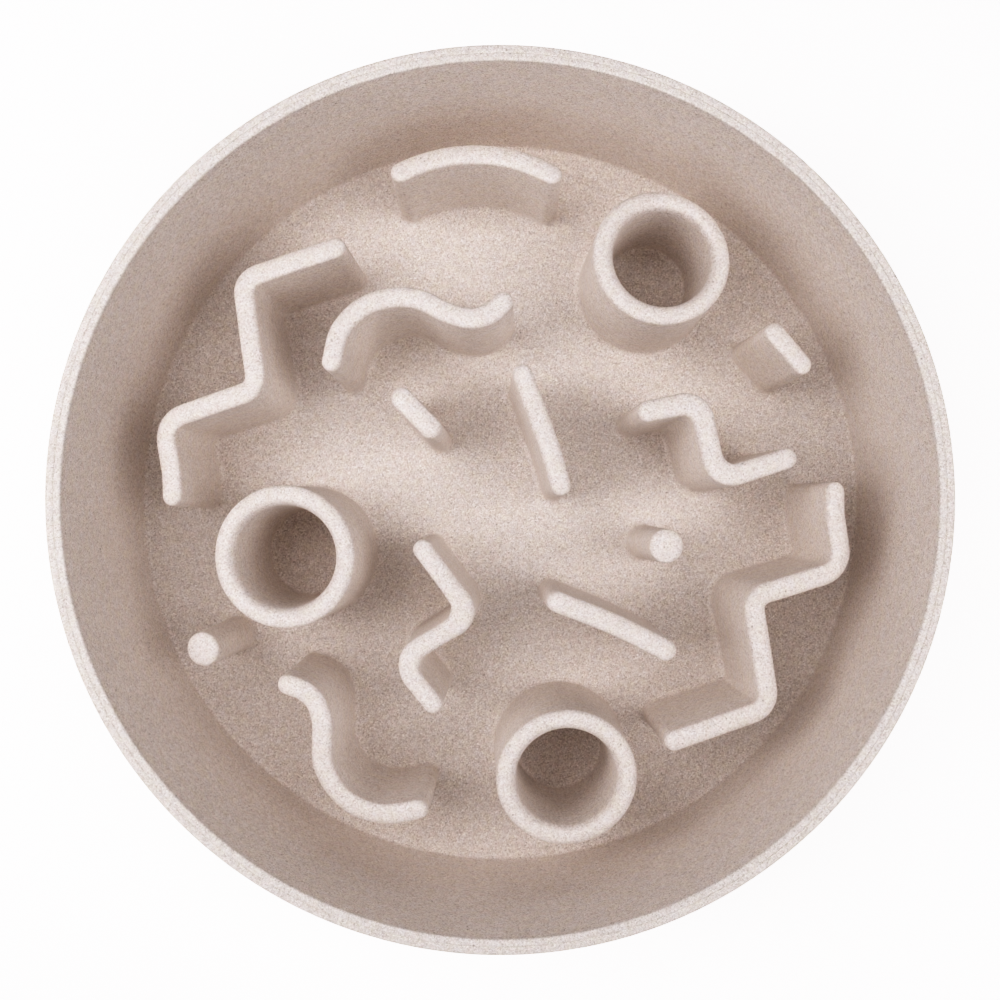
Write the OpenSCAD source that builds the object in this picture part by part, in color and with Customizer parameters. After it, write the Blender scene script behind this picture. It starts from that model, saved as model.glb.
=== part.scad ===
// Slow feeder bowl: a round, straight-sided bowl whose floor carries a maze
// of upright ridges, three open tubes and two pegs. A rubber ring under the
// foot stops it sliding. The origin is the centre of the ring's resting
// face, +Z is up, and lengths are in millimetres.

/* [Bowl] */
// Outside diameter of the rim
rim_d = 251; // [247:1:270]
// Height from the table to the rim
bowl_h = 60; // [54:1:70]
// Width of the rim seen from above, and so of the wall
rim_w = 4.6; // [3.5:0.1:5.5]
// How far the inner wall leans outwards between floor and rim
wall_run = 2.2; // [1:0.1:3]
// Thickness of the floor
floor_t = 3.6; // [3:0.1:5]
// Radius of the corner under the bowl, between foot and wall
corner_r = 6; // [3:0.5:6]
// Radius where the floor meets the wall inside
inner_r = 1.5; // [1:0.25:3]
// Width of the outer band of the rim, which lies a little lower
rim_band = 2.4; // [1:0.1:2.6]
// How much lower that band lies
rim_step = 0.25; // [0.1:0.05:0.5]

/* [Foot] */
// Height of the foot below the underside of the floor
foot_h = 1.2; // [0.8:0.1:2]
// Inner radius of the foot
foot_in = 98; // [90:1:101]
// Inner radius of the groove that holds the rubber ring
groove_in = 104; // [103:0.5:106]
// Outer radius of the groove
groove_out = 112; // [109:0.5:113]
// Depth of the groove
groove_deep = 2; // [1:0.1:2.5]
// How far the rubber ring stands out of the groove
ring_out = 1.2; // [0.8:0.1:2]
// Side clearance between the rubber ring and the groove
ring_gap = 0.15; // [0.05:0.05:0.4]

/* [Maze] */
// Thickness of most of the ridges
ridge_w = 6.6; // [4:0.1:7.5]
// How much thinner the centre bar and the centre squiggle are
slim = 0.5; // [0:0.1:1]
// Height of the maze above the floor at the bowl's centre
crown_h = 46; // [30:0.5:48]
// Drop of the tops 100 mm out from the centre, by the square of the distance
crown_drop = 3.9; // [0:0.1:8]
// Further drop there, by its fourth power
crown_fall = 4.6; // [0:0.1:8]
// Outside diameter of the upper tube at its top
upper_tube_d = 40.6; // [36:0.2:44]
// Outside diameter of the left and lower tubes at their tops
tube_d = 41.4; // [36:0.2:44]
// Bore of the upper tube at its top
upper_bore = 29.2; // [24:0.2:32]
// Bore of the left and lower tubes at their tops
tube_bore = 29.8; // [24:0.2:32]
// How much a tube's wall thickens on each side towards the floor
tube_run = 0.7; // [0:0.1:1]
// Diameter of a peg at its top
peg_d = 9.9; // [8:0.1:12]
// How much a peg's radius grows towards the floor
peg_run = 0.7; // [0:0.1:1.5]

/* [Hidden] */
z_foot = ring_out;                  // underside of the foot
z_under = z_foot + foot_h;          // underside of the floor
z_floor = z_under + floor_t;        // upper face of the floor
rim_r = rim_d / 2;
in_top = rim_r - rim_w;             // inner radius at the rim
in_low = in_top - wall_run;         // inner radius at the floor
lean = wall_run / (bowl_h - z_floor);
out_low = rim_r - lean * (bowl_h - z_foot - corner_r);  // outside, above the corner
base_h = z_floor - z_foot;          // height of the base at its edge
corner_a = base_h < corner_r ? asin(base_h / corner_r - 1) : 0;  // where the wall
                                    // takes over the rounded corner
lip_r = 0.9;                        // rounding of the rim's outer edge
lip_in = 0.6;                       // rounding of its inner edge
bowl_col = "#d6ccc1";
maze_col = "#ddd4ca";
ring_col = "#8b8580";

// ---- Centrelines of the ridges ----

function unit(v) = v / norm(v);
function ang(v) = atan2(v[1], v[0]);
function xy(p) = [p[0], p[1]];
function flip(p) = [for (i = [len(p) - 1 : -1 : 0]) p[i]];

// Arc that rounds the corner b between a and c with radius r
function bend(a, b, c, r, n = 9) =
    let (u = unit(a - b), v = unit(c - b),
         half = acos(u * v) / 2,
         m = b + unit(u + v) * r / sin(half),
         s = ang(b + u * r / tan(half) - m),
         e = ang(b + v * r / tan(half) - m),
         d = (e - s + 540) % 360 - 180)
    [for (i = [0 : n]) m + r * [cos(s + d * i / n), sin(s + d * i / n)]];

// Line through corners given as [x, y, radius]; the ends have no radius
function zigzag(k) = concat(
    [xy(k[0])],
    [for (i = [1 : len(k) - 2])
        each bend(xy(k[i - 1]), xy(k[i]), xy(k[i + 1]), k[i][2])],
    [xy(k[len(k) - 1])]);

// Smooth curve through points
function blend(a, b, c, d, t) =
    0.5 * (2 * b + (c - a) * t + (2 * a - 5 * b + 4 * c - d) * t * t
           + (3 * b - a - 3 * c + d) * t * t * t);
function wave(k, n = 5) =
    let (m = len(k) - 1)
    concat([for (i = [0 : m - 1]) for (j = [0 : n - 1])
                blend(i == 0 ? 2 * k[0] - k[1] : k[i - 1], k[i], k[i + 1],
                      i == m - 1 ? 2 * k[m] - k[m - 1] : k[i + 2], j / n)],
           [k[m]]);

// Part of a circle about c, from angle s to angle e
function arc(c, r, s, e, n = 20) =
    [for (i = [0 : n]) let (a = s + (e - s) * i / n) c + r * [cos(a), sin(a)]];

// Outline of a band of half width w along p, with round ends
function heading(p, i) = unit(p[min(i + 1, len(p) - 1)] - p[max(i - 1, 0)]);
function edge(p, w) =
    [for (i = [0 : len(p) - 1]) let (h = heading(p, i)) p[i] + w * [-h[1], h[0]]];
function nose(c, a, w, n = 12) =
    [for (i = [1 : n - 1]) c + w * [cos(a - 180 * i / n), sin(a - 180 * i / n)]];
function band(p, w) =
    let (m = len(p) - 1)
    concat(edge(p, w), nose(p[m], ang(heading(p, m)) + 90, w),
           flip(edge(p, -w)), nose(p[0], ang(heading(p, 0)) - 90, w));

// ---- Shared shapes ----

// Quarter round about c, from angle s to angle e, for the turned profiles
function round_off(c, r, s, e, n = 6) = arc(c, r, s, e, n);

// The gentle dome on which all the tops of the maze lie
function top_z(r) = let (q = pow(r / 100, 2))
    z_floor + crown_h - crown_drop * q - crown_fall * q * q;
module crown() {
    rotate_extrude($fn = 240) polygon(concat(
        [[0, z_floor - 1]], [for (r = [0 : 8 : 112]) [r, top_z(r)]],
        [[112, z_floor - 1]]));
}

module ridge(p, w = ridge_w) {
    color(maze_col) intersection() {
        translate([0, 0, z_floor]) linear_extrude(height = crown_h + 1)
            polygon(band(p, w / 2));
        crown();
    }
}

module tube(c, d, bore) {
    color(maze_col) intersection() {
        translate([c[0], c[1], z_floor]) difference() {
            cylinder(h = crown_h + 1, r1 = d / 2 + tube_run, r2 = d / 2, $fn = 120);
            translate([0, 0, -0.001])
                cylinder(h = crown_h + 1.002, r1 = bore / 2 - tube_run,
                         r2 = bore / 2, $fn = 120);
        }
        crown();
    }
}

module peg(c) {
    color(maze_col) intersection() {
        translate([c[0], c[1], z_floor])
            cylinder(h = crown_h + 1, r1 = peg_d / 2 + peg_run, r2 = peg_d / 2, $fn = 72);
        crown();
    }
}

// ---- Bowl ----

// Floor disc with the foot, the groove for the rubber ring and the lower part
// of the rounded corner; the wall stands on its edge
module bowl_base() {
    color(bowl_col) rotate_extrude($fn = 240) polygon(concat(
        [[0, z_under], [foot_in, z_under], [foot_in + foot_h, z_foot],
         [groove_in, z_foot], [groove_in, z_foot + groove_deep],
         [groove_out, z_foot + groove_deep], [groove_out, z_foot]],
        round_off([out_low - corner_r, z_foot + corner_r], corner_r, -90, corner_a),
        base_h > corner_r ? [[rim_r - lean * (bowl_h - z_floor), z_floor]] : [],
        [[0, z_floor]]));
}

// Wall with the upper part of the rounded corner and the stepped rim
module bowl_wall() {
    z_band = bowl_h - rim_step;
    color(bowl_col) rotate_extrude($fn = 240) polygon(concat(
        base_h < corner_r
            ? round_off([out_low - corner_r, z_foot + corner_r], corner_r, corner_a, 0, 3)
            : [[rim_r - lean * (bowl_h - z_floor), z_floor]],
        round_off([rim_r - lip_r, z_band - lip_r], lip_r, 0, 90),
        [[rim_r - rim_band + 0.1, z_band], [rim_r - rim_band - 0.1, bowl_h]],
        round_off([in_top + lip_in, bowl_h - lip_in], lip_in, 90, 180),
        round_off([in_low - inner_r, z_floor + inner_r], inner_r, 0, -90)));
}

// Rubber ring pressed into the groove, which carries the bowl
module base_ring() {
    a = groove_in + ring_gap;
    b = groove_out - ring_gap;
    top = z_foot + groove_deep;
    color(ring_col) rotate_extrude($fn = 240) polygon(concat(
        [[a, top]],
        round_off([a + 0.8, 0.8], 0.8, 180, 270, 4),
        round_off([b - 0.8, 0.8], 0.8, 270, 360, 4),
        [[b, top]]));
}

// ---- Maze ----

module top_arc_ridge() { ridge(arc([-7.9, 57.5], 44.8, 118.3, 59.1)); }

module left_zigzag_ridge() {
    ridge(zigzag([[-48, 73.7], [-75.9, 65.1, 5.5], [-70.3, 32.4, 5],
                  [-99.5, 23.4, 7], [-96.4, 8, 12], [-96.2, 1.6]]));
}

module upper_wave_ridge() {
    ridge(wave([[-48.4, 40.1], [-46.1, 49], [-39.6, 55.8], [-31, 58.5], [-23.2, 57.9],
                [-15.3, 54], [-8.3, 52.3], [-2.7, 53.8], [0.9, 57]]));
}

module left_short_bar() { ridge([[-28, 29.2], [-19.9, 20.8]]); }

module centre_bar() {
    ridge(wave([[6.4, 36.1], [12.4, 20.1], [15, 12.5], [17.3, 4.3]]), ridge_w - slim);
}

module upper_tube() { tube([47.1, 70.9], upper_tube_d, upper_bore); }

module right_short_bar() { ridge([[80.5, 49.2], [88.6, 40.2]]); }

module right_squiggle_ridge() {
    ridge(zigzag([[42.4, 25.6], [57.4, 28.7, 5.8], [62.6, 5.7, 6.2], [83.3, 12.3]]));
}

module right_peg() { peg([47.6, -13]); }

module right_zigzag_ridge() {
    ridge(zigzag([[98.5, 2.6], [98.5, -4, 12], [101.4, -20, 7], [73, -27.9, 5],
                  [79.4, -60.7, 5.5], [50.9, -69.8]]));
}

module left_tube() { tube([-62.2, -16.2], tube_d, tube_bore); }

module left_peg() { peg([-87.2, -43.5]); }

module centre_squiggle_ridge() {
    ridge(zigzag([[-22, -14], [-8, -32.9, 5.8], [-29.2, -45.8, 6.5], [-19.4, -58.4]]),
          ridge_w - slim);
}

module diagonal_bar() { ridge(wave([[16.4, -29], [24, -31.9], [32, -35.2], [40, -39], [47.7, -43.1]])); }

module lower_wave_ridge() {
    ridge(wave([[-61.6, -53.4], [-57.1, -55], [-53.5, -58.4], [-51.8, -63.9],
                [-51.9, -70.4], [-52, -76.4], [-49.7, -82.5], [-45.7, -87.6],
                [-40.2, -90.8], [-34.1, -92], [-28.6, -91.4], [-24.1, -90.3]]));
}

module lower_tube() { tube([19.4, -80.8], tube_d, tube_bore); }

bowl_base();
bowl_wall();
base_ring();
top_arc_ridge();
left_zigzag_ridge();
upper_wave_ridge();
left_short_bar();
centre_bar();
upper_tube();
right_short_bar();
right_squiggle_ridge();
right_peg();
right_zigzag_ridge();
left_tube();
left_peg();
centre_squiggle_ridge();
diagonal_bar();
lower_wave_ridge();
lower_tube();
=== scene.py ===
import bpy
import bmesh
import math
import numpy as np
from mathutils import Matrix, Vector
from mathutils.geometry import delaunay_2d_cdt


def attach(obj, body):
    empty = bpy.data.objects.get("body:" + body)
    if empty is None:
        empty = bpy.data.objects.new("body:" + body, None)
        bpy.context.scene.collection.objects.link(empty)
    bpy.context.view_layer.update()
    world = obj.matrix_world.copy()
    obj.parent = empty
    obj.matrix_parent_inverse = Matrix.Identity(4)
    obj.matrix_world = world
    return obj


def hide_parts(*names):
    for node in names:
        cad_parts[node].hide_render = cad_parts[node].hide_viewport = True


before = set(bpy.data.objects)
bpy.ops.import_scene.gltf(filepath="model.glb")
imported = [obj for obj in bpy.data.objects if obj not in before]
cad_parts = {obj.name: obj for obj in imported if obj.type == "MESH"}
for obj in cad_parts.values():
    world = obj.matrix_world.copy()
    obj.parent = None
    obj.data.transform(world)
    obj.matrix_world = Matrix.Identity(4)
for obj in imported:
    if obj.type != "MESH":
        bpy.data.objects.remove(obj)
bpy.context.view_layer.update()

# ---------------------------------------------------------------------------
# Sizes, in millimetres, as in the CAD model
# ---------------------------------------------------------------------------
FLOOR = 6.0          # upper face of the bowl's floor
CROWN = 46.0         # height of the maze above it at the centre
RIM_Z = 60.0
RIM_R = 125.5
IN_TOP, IN_LOW = 120.9, 118.7
LEAN = (IN_TOP - IN_LOW) / (RIM_Z - FLOOR)
FOOT_Z, UNDER_Z = 1.2, 2.4


def top_z(x, y):
    """Height of the dome on which the tops of the maze lie."""
    q = (x * x + y * y) / 1e4
    return FLOOR + CROWN - 3.9 * q - 4.6 * q * q


# ---------------------------------------------------------------------------
# Centrelines
# ---------------------------------------------------------------------------
def unit(v):
    return v / np.linalg.norm(v)


def zigzag(k, step=0.85):
    """Straight runs joined by arcs; k holds (x, y) ends and (x, y, r) corners."""
    k = [np.array(p, float) for p in k]
    out = [k[0][:2]]
    for i in range(1, len(k) - 1):
        a, b, c, r = k[i - 1][:2], k[i][:2], k[i + 1][:2], k[i][2]
        u, v = unit(a - b), unit(c - b)
        half = math.acos(float(u @ v)) / 2
        m = b + unit(u + v) * r / math.sin(half)
        p, q = b + u * r / math.tan(half), b + v * r / math.tan(half)
        s = math.atan2(*(p - m)[::-1])
        e = math.atan2(*(q - m)[::-1])
        d = (e - s + 3 * math.pi) % (2 * math.pi) - math.pi
        n = max(6, int(abs(d) * r / step))
        out += [m + r * np.array([math.cos(s + d * j / n), math.sin(s + d * j / n)])
                for j in range(n + 1)]
    out.append(k[-1][:2])
    return spread(np.array(out))


def wave(k, n=8):
    """Smooth curve through the points k."""
    k = [np.array(p, float) for p in k]
    m = len(k) - 1
    out = []
    for i in range(m):
        a = k[i - 1] if i else 2 * k[0] - k[1]
        b, c = k[i], k[i + 1]
        d = k[i + 2] if i < m - 1 else 2 * k[m] - k[m - 1]
        for j in range(n):
            t = j / n
            out.append(0.5 * (2 * b + (c - a) * t + (2 * a - 5 * b + 4 * c - d) * t * t
                              + (3 * b - a - 3 * c + d) * t ** 3))
    out.append(k[m])
    return spread(np.array(out))


def arc(c, r, s, e, n=44):
    a = np.radians(np.linspace(s, e, n + 1))
    return np.stack([c[0] + r * np.cos(a), c[1] + r * np.sin(a)], 1)


def spread(p, step=1.4):
    """Fill the long straight runs with points, so that the faces stay even."""
    out = [p[0]]
    for a, b in zip(p[:-1], p[1:]):
        n = max(1, int(np.linalg.norm(b - a) / step))
        out += [a + (b - a) * (j + 1) / n for j in range(n)]
    return np.array(out)


RIDGES = {  # centreline; half of the width below the rounding is in HALF
    "top_arc_ridge": arc((-7.9, 57.5), 44.8, 118.3, 59.1),
    "left_zigzag_ridge": zigzag([(-48, 73.7), (-75.9, 65.1, 5.5), (-70.3, 32.4, 5),
                                 (-99.5, 23.4, 7), (-96.4, 8, 12), (-96.2, 1.6)]),
    "upper_wave_ridge": wave([(-48.4, 40.1), (-46.1, 49), (-39.6, 55.8), (-31, 58.5),
                              (-23.2, 57.9), (-15.3, 54), (-8.3, 52.3), (-2.7, 53.8),
                              (0.9, 57)]),
    "left_short_bar": spread(np.array([(-28, 29.2), (-19.9, 20.8)], float)),
    "centre_bar": wave([(6.4, 36.1), (12.4, 20.1), (15, 12.5), (17.3, 4.3)]),
    "right_short_bar": spread(np.array([(80.5, 49.2), (88.6, 40.2)], float)),
    "right_squiggle_ridge": zigzag([(42.4, 25.6), (57.4, 28.7, 5.8), (62.6, 5.7, 6.2), (83.3, 12.3)]),
    "right_zigzag_ridge": zigzag([(98.5, 2.6), (98.5, -4, 12), (101.4, -20, 7),
                                  (73, -27.9, 5), (79.4, -60.7, 5.5), (50.9, -69.8)]),
    "centre_squiggle_ridge": zigzag([(-22, -14), (-8, -32.9, 5.8), (-29.2, -45.8, 6.5),
                                     (-19.4, -58.4)]),
    "diagonal_bar": wave([(16.4, -29), (24, -31.9), (32, -35.2), (40, -39), (47.7, -43.1)]),
    "lower_wave_ridge": wave([(-61.6, -53.4), (-57.1, -55), (-53.5, -58.4), (-51.8, -63.9),
                              (-51.9, -70.4), (-52, -76.4), (-49.7, -82.5), (-45.7, -87.6),
                              (-40.2, -90.8), (-34.1, -92), (-28.6, -91.4), (-24.1, -90.3)]),
}
HALF = {"centre_bar": 2.93, "centre_squiggle_ridge": 2.85, "upper_wave_ridge": 2.99,
        "lower_wave_ridge": 3.05, "left_short_bar": 3.18, "top_arc_ridge": 3.18}
THICK = {  # where a ridge is thicker at a corner: place, extra half width and reach
    "left_zigzag_ridge": [((-73.8, 64.4), 0.25, 4.5)],
    "right_squiggle_ridge": [((55.8, 27), 0.42, 4.5), ((62.8, 7.6), 0.32, 4.5)],
    "centre_squiggle_ridge": [((-9.8, -32.4), 0.7, 4.5), ((-27.2, -45.8), 0.32, 4.5)],
    "upper_wave_ridge": [((-3.5, 53.4), 0.15, 4)],
    "lower_wave_ridge": [((-41.7, -90.2), 0.2, 4.5), ((-31.7, -91.8), 0.22, 4.5)],
}
TUBES = {  # centre, outer radius and bore radius at the top
    "upper_tube": ((47.1, 70.9), 20.3, 14.6),
    "left_tube": ((-62.2, -16.2), 20.7, 14.9),
    "lower_tube": ((19.4, -80.8), 20.6, 14.8),
}
BORE_OFF = {"upper_tube": (0.35, 0.13)}     # bore slightly off the middle of its tube
PEGS = {"right_peg": ((47.6, -13), 4.9), "left_peg": ((-87.2, -43.5), 5.05)}


# ---------------------------------------------------------------------------
# Mesh building
# ---------------------------------------------------------------------------
class Skin:
    """Collects rings of points, in millimetres, and the faces between them."""

    def __init__(self):
        self.v, self.f, self.n = [], [], 0

    def add(self, pts):
        pts = np.asarray(pts, float).reshape(-1, 3)
        i = self.n
        self.v.append(pts)
        self.n += len(pts)
        return np.arange(i, self.n)

    def join(self, a, b):
        n = len(a)
        for i in range(n):
            j = (i + 1) % n
            self.f.append((a[i], a[j], b[j], b[i]))

    def gather(self, a, c, to):
        """Join ring a to the points c, where a[i] meets c[to[i]]."""
        n = len(a)
        for i in range(n):
            j = (i + 1) % n
            if to[i] == to[j]:
                self.f.append((a[i], a[j], c[to[i]]))
            else:
                self.f.append((a[i], a[j], c[to[j]], c[to[i]]))

    def fan(self, a, c):
        n = len(a)
        for i in range(n):
            self.f.append((a[i], a[(i + 1) % n], c))

    def rings(self, rows):
        """Add rings of points one after another and join each to the next."""
        last = None
        first = None
        for row in rows:
            now = self.add(row)
            if last is None:
                first = now
            else:
                self.join(last, now)
            last = now
        return first, last

    def mesh(self, name, weld=0.02):
        me = bpy.data.meshes.new(name)
        v = np.concatenate(self.v)
        me.from_pydata([tuple(p) for p in v], [], [tuple(int(i) for i in f) for f in self.f])
        bm = bmesh.new()
        bm.from_mesh(me)
        bmesh.ops.remove_doubles(bm, verts=bm.verts, dist=weld)
        bmesh.ops.dissolve_degenerate(bm, edges=bm.edges, dist=1e-4)
        bmesh.ops.recalc_face_normals(bm, faces=bm.faces)
        bmesh.ops.scale(bm, vec=(0.001, 0.001, 0.001), verts=bm.verts)
        bm.to_mesh(me)
        bm.free()
        for p in me.polygons:
            p.use_smooth = True
        return me


def circle(r, z, n, c=(0.0, 0.0)):
    a = np.arange(n) * 2 * math.pi / n
    z = np.full(n, z) if np.isscalar(z) else z
    return np.stack([c[0] + r * np.cos(a), c[1] + r * np.sin(a), z], 1)


def turn(cx, cz, r, s, e, n):
    """Points (radius, height) of an arc in a turned profile."""
    return [(cx + r * math.cos(math.radians(s + (e - s) * i / n)),
             cz + r * math.sin(math.radians(s + (e - s) * i / n))) for i in range(n + 1)]


def crown(half, high, n, power=2.35):
    """Cross-section of a rounded top: (offset, height) from the edge inwards."""
    out = []
    for i in range(n + 1):
        t = math.radians(90.0 * i / n)
        out.append((half * math.cos(t) ** (2 / power), high * math.sin(t) ** (2 / power)))
    return out


TOP_H = 2.1          # height of the rounding at the top of a ridge
HALF_T, DRAFT = 3.1, 0.5
MOUTH_H = 4.2        # the same at the bore of a tube
FILLET = 2.0
SKIRT = 0.6


def ring_at(p, w, caps=14):
    """Closed outline at distance w (one number, or one for each point) from the
    centreline p, and the centre point that each of its points belongs to."""
    n = len(p)
    w = np.ones(n) * w
    d = np.empty_like(p)
    d[1:-1] = p[2:] - p[:-2]
    d[0], d[-1] = p[1] - p[0], p[-1] - p[-2]
    d /= np.linalg.norm(d, axis=1)[:, None]
    nrm = np.stack([-d[:, 1], d[:, 0]], 1)
    left, right = p + w[:, None] * nrm, p - w[:, None] * nrm
    he, hs = math.atan2(d[-1, 1], d[-1, 0]), math.atan2(d[0, 1], d[0, 0])
    a = he + math.pi / 2 - math.pi * np.arange(1, caps) / caps
    b = hs - math.pi / 2 - math.pi * np.arange(1, caps) / caps
    end = p[-1] + w[-1] * np.stack([np.cos(a), np.sin(a)], 1)
    start = p[0] + w[0] * np.stack([np.cos(b), np.sin(b)], 1)
    ring = np.concatenate([left, end, right[::-1], start])
    to = np.concatenate([np.arange(n), np.full(caps - 1, n - 1),
                         np.arange(n)[::-1], np.zeros(caps - 1, int)])
    # Where the outline would fold inside a tight corner, push it back out to
    # its true distance from the whole centreline
    step, way = np.roll(ring, -1, 0) - ring, np.roll(p[to], -1, 0) - p[to]
    back = np.flatnonzero((step * way).sum(1) < 0)
    pushed = np.zeros(len(ring), bool)
    for _ in range(40):
        diff = ring[:, None, :] - p[None, :, :]
        dist = np.sqrt((diff ** 2).sum(2))
        k = dist.argmin(1)
        near = dist[np.arange(len(ring)), k]
        bad = near < w[k] - 0.02
        if not bad.any():
            break
        push = diff[np.arange(len(ring)), k] / np.maximum(near, 1e-6)[:, None]
        ring[bad] += push[bad] * (w[k] - near)[bad][:, None]
        pushed |= bad
    # The points of such a fold become one, the tip of the inner corner
    groups = np.split(back, np.flatnonzero(np.diff(back) > 3) + 1) if len(back) else []
    for g in groups:
        tip = ring[g[0]:g[-1] + 2].mean(0)
        lo, hi = g[0], g[-1] + 1
        while pushed[lo - 1] and np.linalg.norm(ring[lo - 1] - tip) < 1.5:
            lo -= 1
        while pushed[(hi + 1) % len(ring)] and np.linalg.norm(ring[(hi + 1) % len(ring)] - tip) < 1.5:
            hi += 1
        ring[np.arange(lo, hi + 1) % len(ring)] = tip
    return ring, to


def ridge(skin, p, half=HALF_T, thick=()):
    """A ridge from the floor up; returns the outline of its foot."""
    rows = []
    for c, extra, reach in thick:
        half = half + extra * np.exp(-((p - np.array(c)) ** 2).sum(1) / reach ** 2)
    foot_w = half + DRAFT
    ring, to = ring_at(p, foot_w + FILLET + SKIRT)
    foot = ring.copy()
    rows.append(np.column_stack([ring, np.full(len(ring), FLOOR)]))
    for i in range(0, 9):
        t = math.radians(90.0 * i / 8)
        ring, _ = ring_at(p, foot_w + FILLET * (1 - math.sin(t)))
        rows.append(np.column_stack([ring, np.full(len(ring), FLOOR + FILLET * (1 - math.cos(t)))]))
    for s in (0.12, 0.3, 0.5, 0.7, 0.88, 0.96):
        ring, _ = ring_at(p, foot_w - DRAFT * s)
        high = top_z(ring[:, 0], ring[:, 1]) - TOP_H
        rows.append(np.column_stack([ring, FLOOR + FILLET + (high - FLOOR - FILLET) * s]))
    prof = crown(1.0, TOP_H, 12)
    for w, h in prof[:-1]:
        ring, _ = ring_at(p, half * w)
        rows.append(np.column_stack([ring, top_z(ring[:, 0], ring[:, 1]) - TOP_H + h]))
    first, last = skin.rings(rows)
    mid = skin.add(np.column_stack([p, top_z(p[:, 0], p[:, 1])]))
    skin.gather(last, mid, to)
    return foot, first


def tube(skin, c, ro, ri, off=(0, 0), n=112):
    """An open tube; returns the outline of its foot."""
    run, top_h = 0.7, 2.1
    mid, half = (ro + ri) / 2, (ro - ri) / 2

    def row(r, z):
        k = min(max((ro - r) / (ro - ri), 0.0), 1.0)
        return circle(r, z, n, (c[0] + k * off[0], c[1] + k * off[1]))

    def high(r):
        q = row(r, 0.0)
        return top_z(q[:, 0], q[:, 1]) - top_h

    rows = [row(ro + run + FILLET + SKIRT, FLOOR)]
    foot = rows[0][:, :2].copy()
    for i in range(9):
        t = math.radians(90.0 * i / 8)
        rows.append(row(ro + run + FILLET * (1 - math.sin(t)), FLOOR + FILLET * (1 - math.cos(t))))
    for s in (0.12, 0.3, 0.5, 0.7, 0.88, 0.96):
        r = ro + run * (1 - s)
        rows.append(row(r, FLOOR + FILLET + (high(r) - FLOOR - FILLET) * s))
    prof = crown(half, top_h, 12)
    for w, h in prof:
        rows.append(row(mid + w, high(mid + w) + h))
    # the mouth of the bore is rounded more softly than the outside
    for w, h in crown(half, MOUTH_H, 16, 2.1)[-2::-1]:
        rows.append(row(mid - w, high(mid - w) + top_h - MOUTH_H + h))
    low = FLOOR + 1.5
    for s in (0.04, 0.12, 0.3, 0.5, 0.7, 0.88):
        r = ri - run * s
        top = high(r) + top_h - MOUTH_H
        rows.append(row(r, top + (low - top) * s))
    for i in range(9):
        t = math.radians(90.0 * i / 8)
        rows.append(row(ri - run - 1.5 + 1.5 * math.cos(t), low - 1.5 * math.sin(t)))
    inner = ri - run - 1.5
    for k in (0.96, 0.8, 0.6, 0.4, 0.2):
        rows.append(row(inner * k, FLOOR))
    first, last = skin.rings(rows)
    skin.fan(last, skin.add([(c[0] + off[0], c[1] + off[1], FLOOR)])[0])
    return foot, first


def peg(skin, c, rt, n=48):
    rb, top_h = rt + 0.7, 1.9

    def row(r, z):
        return circle(r, z, n, c)

    def high(r):
        q = circle(r, 0.0, n, c)
        return top_z(q[:, 0], q[:, 1]) - top_h

    rows = [row(rb + FILLET + SKIRT, FLOOR)]
    foot = rows[0][:, :2].copy()
    for i in range(9):
        t = math.radians(90.0 * i / 8)
        rows.append(row(rb + FILLET * (1 - math.sin(t)), FLOOR + FILLET * (1 - math.cos(t))))
    for s in (0.12, 0.3, 0.5, 0.7, 0.88, 0.96):
        r = rb + (rt - rb) * s
        rows.append(row(r, FLOOR + FILLET + (high(r) - FLOOR - FILLET) * s))
    for w, h in crown(rt, top_h, 14, 2.6)[:-1]:
        rows.append(row(w, high(w) + h))
    first, last = skin.rings(rows)
    skin.fan(last, skin.add([(c[0], c[1], float(top_z(c[0], c[1])))])[0])
    return foot, first


def inside(pts, poly):
    """Which of the points lie in the polygon."""
    x, y = pts[:, 0], pts[:, 1]
    hit = np.zeros(len(pts), bool)
    for (x0, y0), (x1, y1) in zip(poly, np.roll(poly, -1, 0)):
        cross = (y0 > y) != (y1 > y)
        with np.errstate(divide="ignore", invalid="ignore"):
            xi = (x1 - x0) * (y - y0) / (y1 - y0) + x0
        hit ^= cross & (x < xi)
    return hit


def clean(loop, tol=0.02):
    """Drop points of a closed outline that nearly coincide with the one before."""
    keep = [loop[0]]
    for q in loop[1:]:
        if np.linalg.norm(q - keep[-1]) > tol:
            keep.append(q)
    if np.linalg.norm(keep[-1] - keep[0]) <= tol:
        keep.pop()
    return np.array(keep)


def floor_sheet(skin, outer, feet):
    """The flat floor between the outer circle and the feet of the maze."""
    pts, edges = [], []

    def loop(q):
        i = len(pts)
        pts.extend(q)
        edges.extend((i + j, i + (j + 1) % len(q)) for j in range(len(q)))

    loop(outer)
    feet = [clean(f) for f in feet]
    for f in feet:
        loop(f)
    fixed = np.array(pts)
    fill = []
    step = 5.0
    for j in range(-30, 31):
        for i in range(-30, 31):
            q = (i * step + (j % 2) * step / 2, j * step * 0.866)
            if math.hypot(*q) < 111.5:
                fill.append(q)
    fill = np.array(fill)
    near = np.array([np.sqrt(((fixed - q) ** 2).sum(1)).min() for q in fill])
    ok = near > 2.0
    for f in feet:
        ok &= ~inside(fill, f)
    pts.extend(fill[ok])
    out = delaunay_2d_cdt([Vector(p) for p in pts], edges, [], 0, 1e-6)
    v = np.array([tuple(p) for p in out[0]])
    t = np.array([f for f in out[2]])
    mid = v[t].mean(1)
    keep = np.hypot(mid[:, 0], mid[:, 1]) < np.linalg.norm(outer[0]) * 0.9999
    for f in feet:
        keep &= ~inside(mid, f)
    base = skin.add(np.column_stack([v, np.full(len(v), FLOOR)]))
    for a, b, c in t[keep]:
        skin.f.append((base[a], base[b], base[c]))


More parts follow.
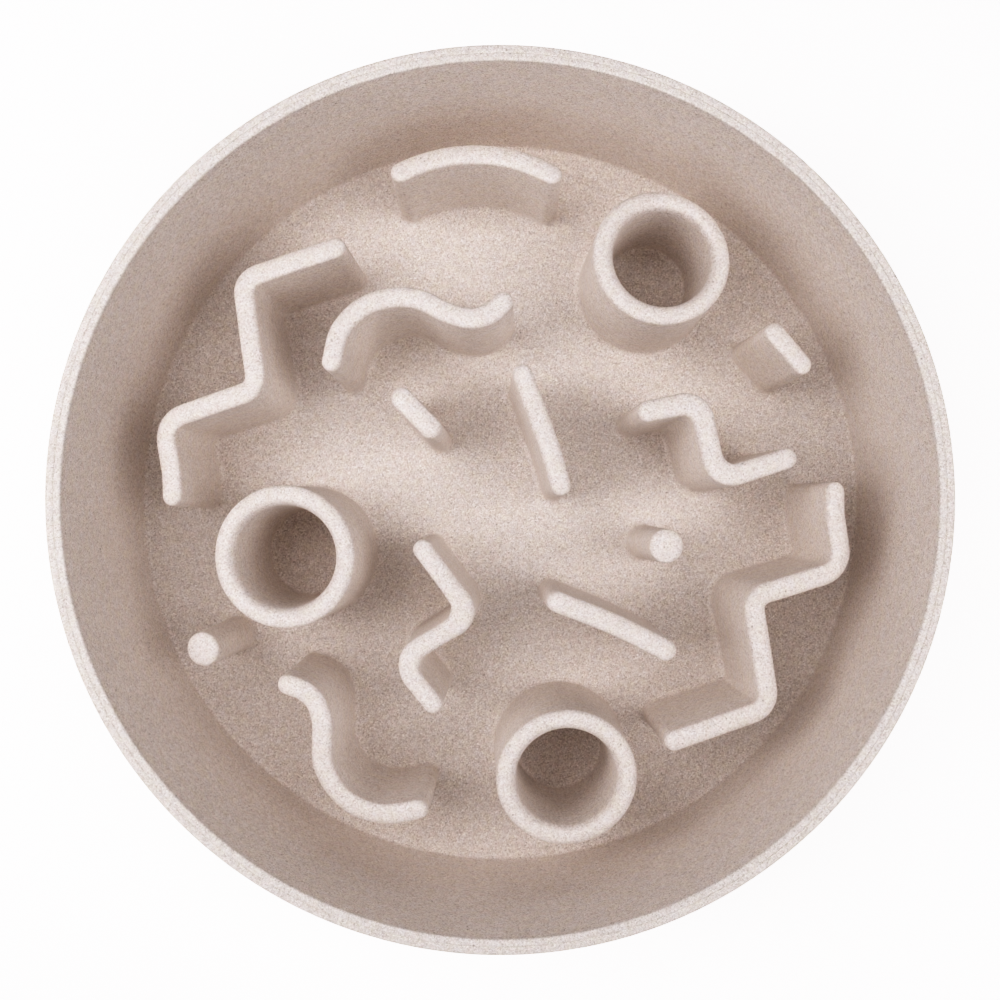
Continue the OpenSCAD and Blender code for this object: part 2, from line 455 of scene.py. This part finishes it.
def build_bowl():
    skin = Skin()
    feet = []
    for name, p in RIDGES.items():
        feet.append(ridge(skin, p, HALF.get(name, HALF_T), THICK.get(name, ()))[0])
    for name, (c, ro, ri) in TUBES.items():
        feet.append(tube(skin, c, ro, ri, BORE_OFF.get(name, (0, 0)))[0])
    for c, r in PEGS.values():
        feet.append(peg(skin, c, r)[0])
    n = 288
    outer = circle(114.0, FLOOR, n)
    floor_sheet(skin, outer[:, :2], feet)
    # Wall, rim, outside, foot and underside, turned about the axis
    fr = 1.5
    prof = [(114.0, FLOOR), (116.4, FLOOR)]
    prof += turn(IN_LOW - fr, FLOOR + fr, fr, -90, 0, 8)
    wall = lambda z: IN_LOW + LEAN * (z - FLOOR)
    prof += [(wall(z), z) for z in (8.5, 12, 20, 30, 40, 50, 56, 58.6, 59.2)]
    li = 0.6
    prof += turn(wall(59.4) + li, RIM_Z - li, li, 180, 90, 6)[1:]
    prof += [(121.9, RIM_Z), (122.5, RIM_Z), (122.74, 59.99), (122.86, 59.92), (122.96, 59.74),
             (123.04, 59.64), (123.12, 59.66), (123.2, 59.78), (123.3, 59.83), (123.5, 59.84),
             (123.9, 59.83)]
    lo = 0.9
    prof += turn(RIM_R - lo, 59.75 - lo, lo, 90, 0, 8)
    skin_out = lambda z: RIM_R - LEAN * (RIM_Z - z)
    prof += [(skin_out(z), z) for z in (58.2, 57, 50, 40, 30, 20, 12, 8.5)]
    cr = 6.0
    ro = skin_out(FOOT_Z + cr)
    prof += turn(ro - cr, FOOT_Z + cr, cr, 0, -90, 12)
    prof += [(116.0, FOOT_Z), (113.0, FOOT_Z)]
    prof += turn(112.3, FOOT_Z + 0.3, 0.3, -90, -180, 3)
    prof += [(112.0, 1.8), (112.0, 3.0)]
    prof += [(111.9, 3.17), (111.7, 3.2), (108.0, 3.2), (104.3, 3.2), (104.1, 3.17), (104.0, 3.0)]
    prof += [(104.0, 1.8)] + turn(103.7, FOOT_Z + 0.3, 0.3, 0, -90, 3)
    prof += [(103.0, FOOT_Z), (100.2, FOOT_Z), (99.6, 1.24), (99.2, 1.4), (98.4, 2.2), (98.0, 2.36),
             (97.4, UNDER_Z), (96.0, UNDER_Z), (80.0, UNDER_Z), (60.6, UNDER_Z), (60.2, 2.42),
             (60.0, 2.5), (59.6, 2.62), (59.2, 2.65), (58.0, 2.65), (40.0, 2.65), (20.0, 2.65),
             (8.6, 2.65), (8.2, 2.67), (8.0, 2.8), (7.8, 2.98), (7.4, 3.0), (5.0, 3.0), (2.2, 3.0),
             (1.9, 2.96), (1.7, 2.85), (1.4, 2.78), (0.7, 2.76)]
    first, last = skin.rings([circle(r, z, n) for r, z in prof])
    skin.fan(last, skin.add([(0, 0, 2.76)])[0])
    return skin.mesh("bowl")


def build_ring():
    """Rubber ring: three lands with two shallow grooves between them."""
    skin = Skin()
    a, b, top = 104.15, 111.85, 3.2
    prof = [(a + 0.25, top), (a + 0.06, 3.14), (a, 2.95), (a, 0.8)]
    prof += turn(a + 0.7, 0.7, 0.7, 180, 270, 6)
    for g in (106.6, 109.4):
        prof += [(g - 0.75, 0.0), (g - 0.55, 0.05), (g - 0.42, 0.2), (g - 0.36, 0.5), (g - 0.2, 0.6),
                 (g + 0.2, 0.6), (g + 0.36, 0.5), (g + 0.42, 0.2), (g + 0.55, 0.05), (g + 0.75, 0.0)]
    prof += turn(b - 0.7, 0.7, 0.7, 270, 360, 6)
    prof += [(b, 0.8), (b, 2.95), (b - 0.06, 3.14), (b - 0.25, top), (108.0, top)]
    first, last = skin.rings([circle(r, z, 360) for r, z in prof])
    skin.join(last, first)
    return skin.mesh("rubber_ring", 0.005)


# ---------------------------------------------------------------------------
# Materials
# ---------------------------------------------------------------------------
class Nodes:
    """Short helper to lay out shader nodes."""

    def __init__(self, name):
        self.mat = bpy.data.materials.new(name)
        self.mat.use_nodes = True
        self.t = self.mat.node_tree
        self.t.nodes.clear()

    def new(self, kind, **kw):
        nd = self.t.nodes.new(kind)
        for k, v in kw.items():
            if k.startswith("in_"):
                nd.inputs[k[3:].replace("_", " ")].default_value = v
            else:
                setattr(nd, k, v)
        return nd

    def link(self, a, b):
        self.t.links.new(a, b)

    def math(self, op, a, b=None, c=None, clamp=False):
        nd = self.t.nodes.new("ShaderNodeMath")
        nd.operation = op
        nd.use_clamp = clamp
        for i, v in enumerate((a, b, c)):
            if v is None:
                continue
            if isinstance(v, (int, float)):
                nd.inputs[i].default_value = v
            else:
                self.link(v, nd.inputs[i])
        return nd.outputs[0]

    def mix(self, fac, a, b, blend="MIX"):
        nd = self.t.nodes.new("ShaderNodeMix")
        nd.data_type = "RGBA"
        nd.blend_type = blend
        for sock, v in ((nd.inputs[0], fac), (nd.inputs[6], a), (nd.inputs[7], b)):
            if isinstance(v, (int, float)):
                sock.default_value = v
            elif isinstance(v, tuple):
                sock.default_value = v
            else:
                self.link(v, sock)
        return nd.outputs[2]

    def ramp(self, fac, stops, interp="LINEAR"):
        nd = self.t.nodes.new("ShaderNodeValToRGB")
        nd.color_ramp.interpolation = interp
        el = nd.color_ramp.elements
        while len(el) < len(stops):
            el.new(0.5)
        for e, (pos, col) in zip(el, stops):
            e.position = pos
            e.color = (col, col, col, 1) if isinstance(col, (int, float)) else (*col, 1)
        self.link(fac, nd.inputs[0])
        return nd.outputs[0]


def grey(v):
    return (v, v, v, 1)


BASE = (0.797, 0.765, 0.733)


def composite_material():
    """Matt moulded composite: a warm pale body packed with fine grains of
    slightly different shade, a few dark and pale flecks, faint warm and cool
    clouds and a very slight grain in the surface."""
    m = Nodes("speckled_composite")
    co = m.new("ShaderNodeTexCoord").outputs["Object"]
    mp = m.new("ShaderNodeMapping")
    mp.inputs["Scale"].default_value = (1000, 1000, 1000)     # millimetres
    m.link(co, mp.inputs["Vector"])
    mm = mp.outputs["Vector"]

    def noise(scale, detail=2.0, rough=0.5, offset=None):
        nd = m.new("ShaderNodeTexNoise")
        nd.inputs["Scale"].default_value = scale
        nd.inputs["Detail"].default_value = detail
        nd.inputs["Roughness"].default_value = rough
        src = mm
        if offset:
            mv = m.new("ShaderNodeMapping")
            mv.inputs["Location"].default_value = offset
            m.link(mm, mv.inputs["Vector"])
            src = mv.outputs["Vector"]
        m.link(src, nd.inputs["Vector"])
        return nd.outputs["Fac"]

    def grains(size, offset, rough=0.5):
        """Packed grains of the given size: (three random numbers of each
        grain, distance from its middle as a share of its size)."""
        mv = m.new("ShaderNodeMapping")
        mv.inputs["Location"].default_value = offset
        m.link(mm, mv.inputs["Vector"])
        wob = m.new("ShaderNodeTexNoise")
        wob.inputs["Scale"].default_value = 1.3 / size
        wob.inputs["Detail"].default_value = 1.0
        m.link(mv.outputs["Vector"], wob.inputs["Vector"])
        shift = m.new("ShaderNodeVectorMath", operation="MULTIPLY_ADD")
        m.link(wob.outputs["Color"], shift.inputs[0])
        shift.inputs[1].default_value = (rough * size,) * 3
        m.link(mv.outputs["Vector"], shift.inputs[2])
        vo = m.new("ShaderNodeTexVoronoi", feature="F1")
        vo.inputs["Scale"].default_value = 1.0 / size
        m.link(shift.outputs[0], vo.inputs["Vector"])
        sep = m.new("ShaderNodeSeparateColor")
        m.link(vo.outputs["Color"], sep.inputs[0])
        return sep.outputs, vo.outputs["Distance"]

    def flecks(size, share, offset, reach):
        rnd, dist = grains(size, offset)
        pick = m.math("LESS_THAN", rnd[0], share)
        near = m.math("MULTIPLY", m.math("SUBTRACT", reach, dist), 6.0, clamp=True)
        return m.math("MULTIPLY", pick, near), rnd[1]

    def tinted(k):
        return (BASE[0] * k[0], BASE[1] * k[1], BASE[2] * k[2], 1)

    # clouds: broad ones in lightness, smaller ones in hue
    broad = noise(0.03, 3.0, 0.55)
    warm = noise(0.27, 2.0, 0.5, (31.0, 12.0, 7.0))
    cool = noise(0.33, 2.0, 0.5, (3.0, 47.0, 21.0))
    pink = noise(0.5, 1.5, 0.5, (13.0, 5.0, 61.0))
    col = m.mix(m.ramp(broad, [(0.35, 0.0), (0.65, 1.0)]),
                tinted((0.985, 0.98, 0.975)), tinted((1.012, 1.012, 1.012)))
    col = m.mix(m.ramp(warm, [(0.42, 0.0), (0.72, 0.55)]), col, tinted((0.998, 0.993, 0.93)))
    col = m.mix(m.ramp(cool, [(0.42, 0.0), (0.72, 0.5)]), col, tinted((0.992, 1.0, 1.045)))
    col = m.mix(m.ramp(pink, [(0.45, 0.0), (0.75, 0.5)]), col, tinted((1.025, 0.975, 0.98)))
    # painted shade: the colour at the top of the rim, from 58.2 mm up, is made a little darker and cooler
    # than the rest
    zmm = m.new("ShaderNodeSeparateXYZ")
    m.link(mm, zmm.inputs[0])
    edge = m.new("ShaderNodeMapRange")
    edge.inputs["From Min"].default_value = 58.2
    edge.inputs["From Max"].default_value = 59.4
    m.link(zmm.outputs["Z"], edge.inputs["Value"])
    rim_painted_shade = m.mix(edge.outputs[0], (1, 1, 1, 1), (0.955, 0.968, 0.97, 1))
    col = m.mix(1.0, col, rim_painted_shade, "MULTIPLY")
    # the grains themselves, in two sizes, nearly as many dark as pale
    fine, fd = grains(0.31, (3.1, 7.7, 1.3))
    mid, md = grains(0.62, (11.0, 2.0, 5.0))
    def shades(rnd, stops):
        """Random shade of a grain; the dark ones are a little warmer."""
        return m.ramp(rnd, [(p, (1 + (v - 1) * 0.94, 1 + (v - 1) * 1.02, 1 + (v - 1) * 1.08))
                            for p, v in stops])

    f = shades(fine[0], [(0.0, 0.78), (0.12, 0.88), (0.32, 0.955), (0.55, 1.01), (0.8, 1.06),
                         (1.0, 1.15)])
    g = shades(mid[0], [(0.0, 0.925), (0.15, 0.965), (0.4, 0.997), (0.7, 1.012), (1.0, 1.038)])
    col = m.mix(1.0, col, f, "MULTIPLY")
    col = m.mix(1.0, col, g, "MULTIPLY")
    # the flat floor shows its grains more than the drawn sides and the tops
    flat = m.new("ShaderNodeMapRange")
    flat.inputs["From Min"].default_value = 6.5
    flat.inputs["From Max"].default_value = 8.5
    flat.inputs["To Min"].default_value = 1.0
    flat.inputs["To Max"].default_value = 0.0
    m.link(zmm.outputs["Z"], flat.inputs["Value"])
    col = m.mix(flat.outputs[0], col, shades(fine[1], [(0.0, 0.865), (0.5, 1.0), (1.0, 1.12)]),
                "MULTIPLY")
    hue = m.ramp(mid[1], [(0.0, (1.004, 0.999, 0.994)), (0.5, (1.0, 1.0, 1.0)), (1.0, (0.998, 1.0, 1.006))])
    col = m.mix(1.0, col, hue, "MULTIPLY")
    dark, dv = flecks(1.0, 0.07, (5.0, 9.0, 17.0), 0.34)
    col = m.mix(m.math("MULTIPLY", dark, m.math("MULTIPLY_ADD", dv, 0.4, 0.12)), col,
                (0.28, 0.245, 0.225, 1))
    pale, pv = flecks(0.9, 0.08, (25.0, 39.0, 7.0), 0.34)
    col = m.mix(m.math("MULTIPLY", pale, m.math("MULTIPLY_ADD", pv, 0.4, 0.2)), col,
                (0.93, 0.895, 0.865, 1))

    bs = m.new("ShaderNodeBsdfPrincipled")
    m.link(col, bs.inputs["Base Color"])
    m.link(m.ramp(mid[2], [(0.0, 0.60), (1.0, 0.76)]), bs.inputs["Roughness"])
    bs.inputs["Specular IOR Level"].default_value = 0.3
    skin = noise(1.6, 3.0, 0.6)
    hgt = m.math("ADD", m.math("MULTIPLY", skin, 0.7), m.math("MULTIPLY", fd, -0.2))
    bump = m.new("ShaderNodeBump")
    bump.inputs["Strength"].default_value = 0.35
    bump.inputs["Distance"].default_value = 0.00005
    m.link(hgt, bump.inputs["Height"])
    m.link(bump.outputs["Normal"], bs.inputs["Normal"])
    out = m.new("ShaderNodeOutputMaterial")
    m.link(bs.outputs[0], out.inputs["Surface"])
    return m.mat


def rubber_material():
    """Matt warm-grey rubber with a fine orange-peel surface."""
    m = Nodes("grey_rubber")
    co = m.new("ShaderNodeTexCoord").outputs["Object"]
    mp = m.new("ShaderNodeMapping")
    mp.inputs["Scale"].default_value = (1000, 1000, 1000)
    m.link(co, mp.inputs["Vector"])
    n1 = m.new("ShaderNodeTexNoise")
    n1.inputs["Scale"].default_value = 3.0
    n1.inputs["Detail"].default_value = 3.0
    m.link(mp.outputs["Vector"], n1.inputs["Vector"])
    n2 = m.new("ShaderNodeTexNoise")
    n2.inputs["Scale"].default_value = 0.08
    n2.inputs["Detail"].default_value = 3.0
    m.link(mp.outputs["Vector"], n2.inputs["Vector"])
    col = m.mix(m.ramp(n2.outputs["Fac"], [(0.35, 0.0), (0.68, 1.0)]),
                (0.235, 0.218, 0.203, 1), (0.28, 0.262, 0.246, 1))
    col = m.mix(m.ramp(n1.outputs["Fac"], [(0.55, 0.0), (0.8, 0.35)]), col, (0.35, 0.33, 0.31, 1))
    bs = m.new("ShaderNodeBsdfPrincipled")
    m.link(col, bs.inputs["Base Color"])
    m.link(m.ramp(n1.outputs["Fac"], [(0.3, 0.72), (0.7, 0.85)]), bs.inputs["Roughness"])
    bs.inputs["Specular IOR Level"].default_value = 0.35
    bump = m.new("ShaderNodeBump")
    bump.inputs["Strength"].default_value = 0.4
    bump.inputs["Distance"].default_value = 0.00006
    m.link(n1.outputs["Fac"], bump.inputs["Height"])
    m.link(bump.outputs["Normal"], bs.inputs["Normal"])
    out = m.new("ShaderNodeOutputMaterial")
    m.link(bs.outputs[0], out.inputs["Surface"])
    return m.mat


def table_material():
    """Seamless pale studio sweep, softly lit from within like a light table."""
    m = Nodes("pale_sweep")
    co = m.new("ShaderNodeTexCoord").outputs["Object"]
    nz = m.new("ShaderNodeTexNoise")
    nz.inputs["Scale"].default_value = 3.0
    m.link(co, nz.inputs["Vector"])
    col = m.mix(m.ramp(nz.outputs["Fac"], [(0.3, 0.0), (0.7, 1.0)]),
                (0.90, 0.90, 0.90, 1), (0.92, 0.92, 0.92, 1))
    bs = m.new("ShaderNodeBsdfPrincipled")
    m.link(col, bs.inputs["Base Color"])
    bs.inputs["Roughness"].default_value = 0.8
    bs.inputs["Specular IOR Level"].default_value = 0.1
    bs.inputs["Emission Color"].default_value = (1, 1, 1, 1)
    # the sweep is as bright far away as it is near the bowl under the lamps
    far = m.new("ShaderNodeVectorMath", operation="LENGTH")
    m.link(co, far.inputs[0])
    # (radius 1.5 m is 1.0 in the ramp)
    glow = m.ramp(m.math("DIVIDE", far.outputs["Value"], 1.5), [(0.3333, 0.45), (1.0, 1.0)])
    m.link(m.math("MULTIPLY", glow, 1.45), bs.inputs["Emission Strength"])
    out = m.new("ShaderNodeOutputMaterial")
    m.link(bs.outputs[0], out.inputs["Surface"])
    return m.mat


# ---------------------------------------------------------------------------
# Scene
# ---------------------------------------------------------------------------
def put(name, mesh, mat):
    ob = bpy.data.objects.new(name, mesh)
    bpy.context.scene.collection.objects.link(ob)
    mesh.materials.append(mat)
    return ob


cam = bpy.data.cameras.new("camera")
cam.sensor_fit = "HORIZONTAL"
cam.sensor_width = 36.0
cam.lens = 913.7 / 1000 * 36.0
cam.shift_x = -0.0001
cam.shift_y = 0.0156
cam.clip_start = 0.01
cam.clip_end = 50.0
camera = bpy.data.objects.new("camera", cam)
bpy.context.scene.collection.objects.link(camera)
camera.location = (0.0, -0.0043, 0.311)
camera.rotation_euler = (0.0, 0.0, 0.0)
bpy.context.scene.camera = camera

bowl = put("bowl", build_bowl(), composite_material())
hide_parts(*[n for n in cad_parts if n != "base_ring"])
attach(bowl, "root")

ring = put("rubber_ring", build_ring(), rubber_material())
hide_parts("base_ring")
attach(ring, "root")


def build_table():
    """Flat sweep; an opening under the bowl lets its underside be seen from below."""
    skin = Skin()
    skin.rings([circle(r, -0.2, 144) for r in (113, 120, 160, 250, 400, 900, 1800, 3000, 6000, 12000)])
    return skin.mesh("table")


table = put("table", build_table(), table_material())


def area(name, place, aim, size, power, colour=(1, 1, 1)):
    li = bpy.data.lights.new(name, "AREA")
    li.shape = "DISK"
    li.size = size
    li.energy = power
    li.color = colour
    ob = bpy.data.objects.new(name, li)
    bpy.context.scene.collection.objects.link(ob)
    ob.location = place
    ob.visible_camera = False
    ob.rotation_euler = (Vector(aim) - Vector(place)).to_track_quat("-Z", "Y").to_euler()
    return ob


TINT = (1.081, 1.029, 1.041)
for el, az, k in ((14, 90, .116), (14, 270, .135), (34, 270, .161), (34, 315, .088),
                  (54, 225, .236), (54, 315, .193)):
    e, a = math.radians(el), math.radians(az)
    area("far", 1.3 * Vector((math.cos(e) * math.cos(a), math.cos(e) * math.sin(a), math.sin(e))),
         (0, 0, 0), 1.0, 10 * k, TINT)
for x, y, k in ((.3, 0, .063), (.6, -.3, .075), (-.3, .3, .024)):
    area("ceiling", (x, y, 0.55), (x, y, 0), 0.36, 10 * k, TINT)
for az, k in ((45, .015), (90, .015), (135, .028), (180, .031)):
    a = math.radians(az)
    x, y = 0.2 * math.cos(a), 0.2 * math.sin(a)
    area("near", (x, y, 0.5), (x, y, 0), 0.16, 10 * k, TINT)
for az, k in ((0, .088), (150, .052), (180, .118)):
    a = math.radians(az)
    area("ring", (0.42 * math.cos(a), 0.42 * math.sin(a), 0.45), (0, 0, 0.02), 0.3, 10 * k, TINT)
for az, k in ((0, .019), (60, .049), (90, .042), (180, .064), (210, .093), (330, .067)):
    a = math.radians(az)
    area("low", (0.75 * math.cos(a), 0.75 * math.sin(a), 0.32), (0, 0, 0.03), 0.4, 10 * k, TINT)

for el, az, k in ((-50, 120, .19), (-32, 300, .15)):       # for the underside
    e, a = math.radians(el), math.radians(az)
    area("below", 0.5 * Vector((math.cos(e) * math.cos(a), math.cos(e) * math.sin(a), math.sin(e))),
         (0, 0, 0), 0.3, 10 * k, TINT)

world = bpy.data.worlds.new("studio")
world.use_nodes = True
bg = world.node_tree.nodes["Background"]
bg.inputs["Color"].default_value = (1, 1, 1, 1)
bg.inputs["Strength"].default_value = 1.4
for ray in ("diffuse", "glossy", "transmission", "scatter"):    # a backdrop, not a lamp
    setattr(world.cycles_visibility, ray, False)
bpy.context.scene.world = world


def tone(power=2.16):
    """Tone curve of the photograph: y = 1 - exp(-x ** power), in linear light."""
    scn = bpy.context.scene
    scn.use_nodes = True
    t = scn.node_tree
    t.nodes.clear()
    src = t.nodes.new("CompositorNodeRLayers")
    sep = t.nodes.new("CompositorNodeSeparateColor")
    com = t.nodes.new("CompositorNodeCombineColor")
    out = t.nodes.new("CompositorNodeComposite")
    t.links.new(src.outputs["Image"], sep.inputs[0])
    for i in range(3):
        a = sep.outputs[i]
        for op, v in (("POWER", power), ("MULTIPLY", -1.0), ("EXPONENT", None), ("SUBTRACT", 1.0)):
            nd = t.nodes.new("CompositorNodeMath")
            nd.operation = op
            if op == "SUBTRACT":
                nd.inputs[0].default_value = v
                t.links.new(a, nd.inputs[1])
            else:
                t.links.new(a, nd.inputs[0])
                if v is not None:
                    nd.inputs[1].default_value = v
            a = nd.outputs[0]
        t.links.new(a, com.inputs[i])
    t.links.new(com.outputs[0], out.inputs["Image"])


tone()

sc = bpy.context.scene
sc.view_settings.view_transform = "Standard"
sc.view_settings.look = "None"
sc.view_settings.exposure = 0.0
sc.view_settings.gamma = 1.0
sc.cycles.use_denoising = True
sc.cycles.max_bounces = 16
sc.cycles.diffuse_bounces = 12
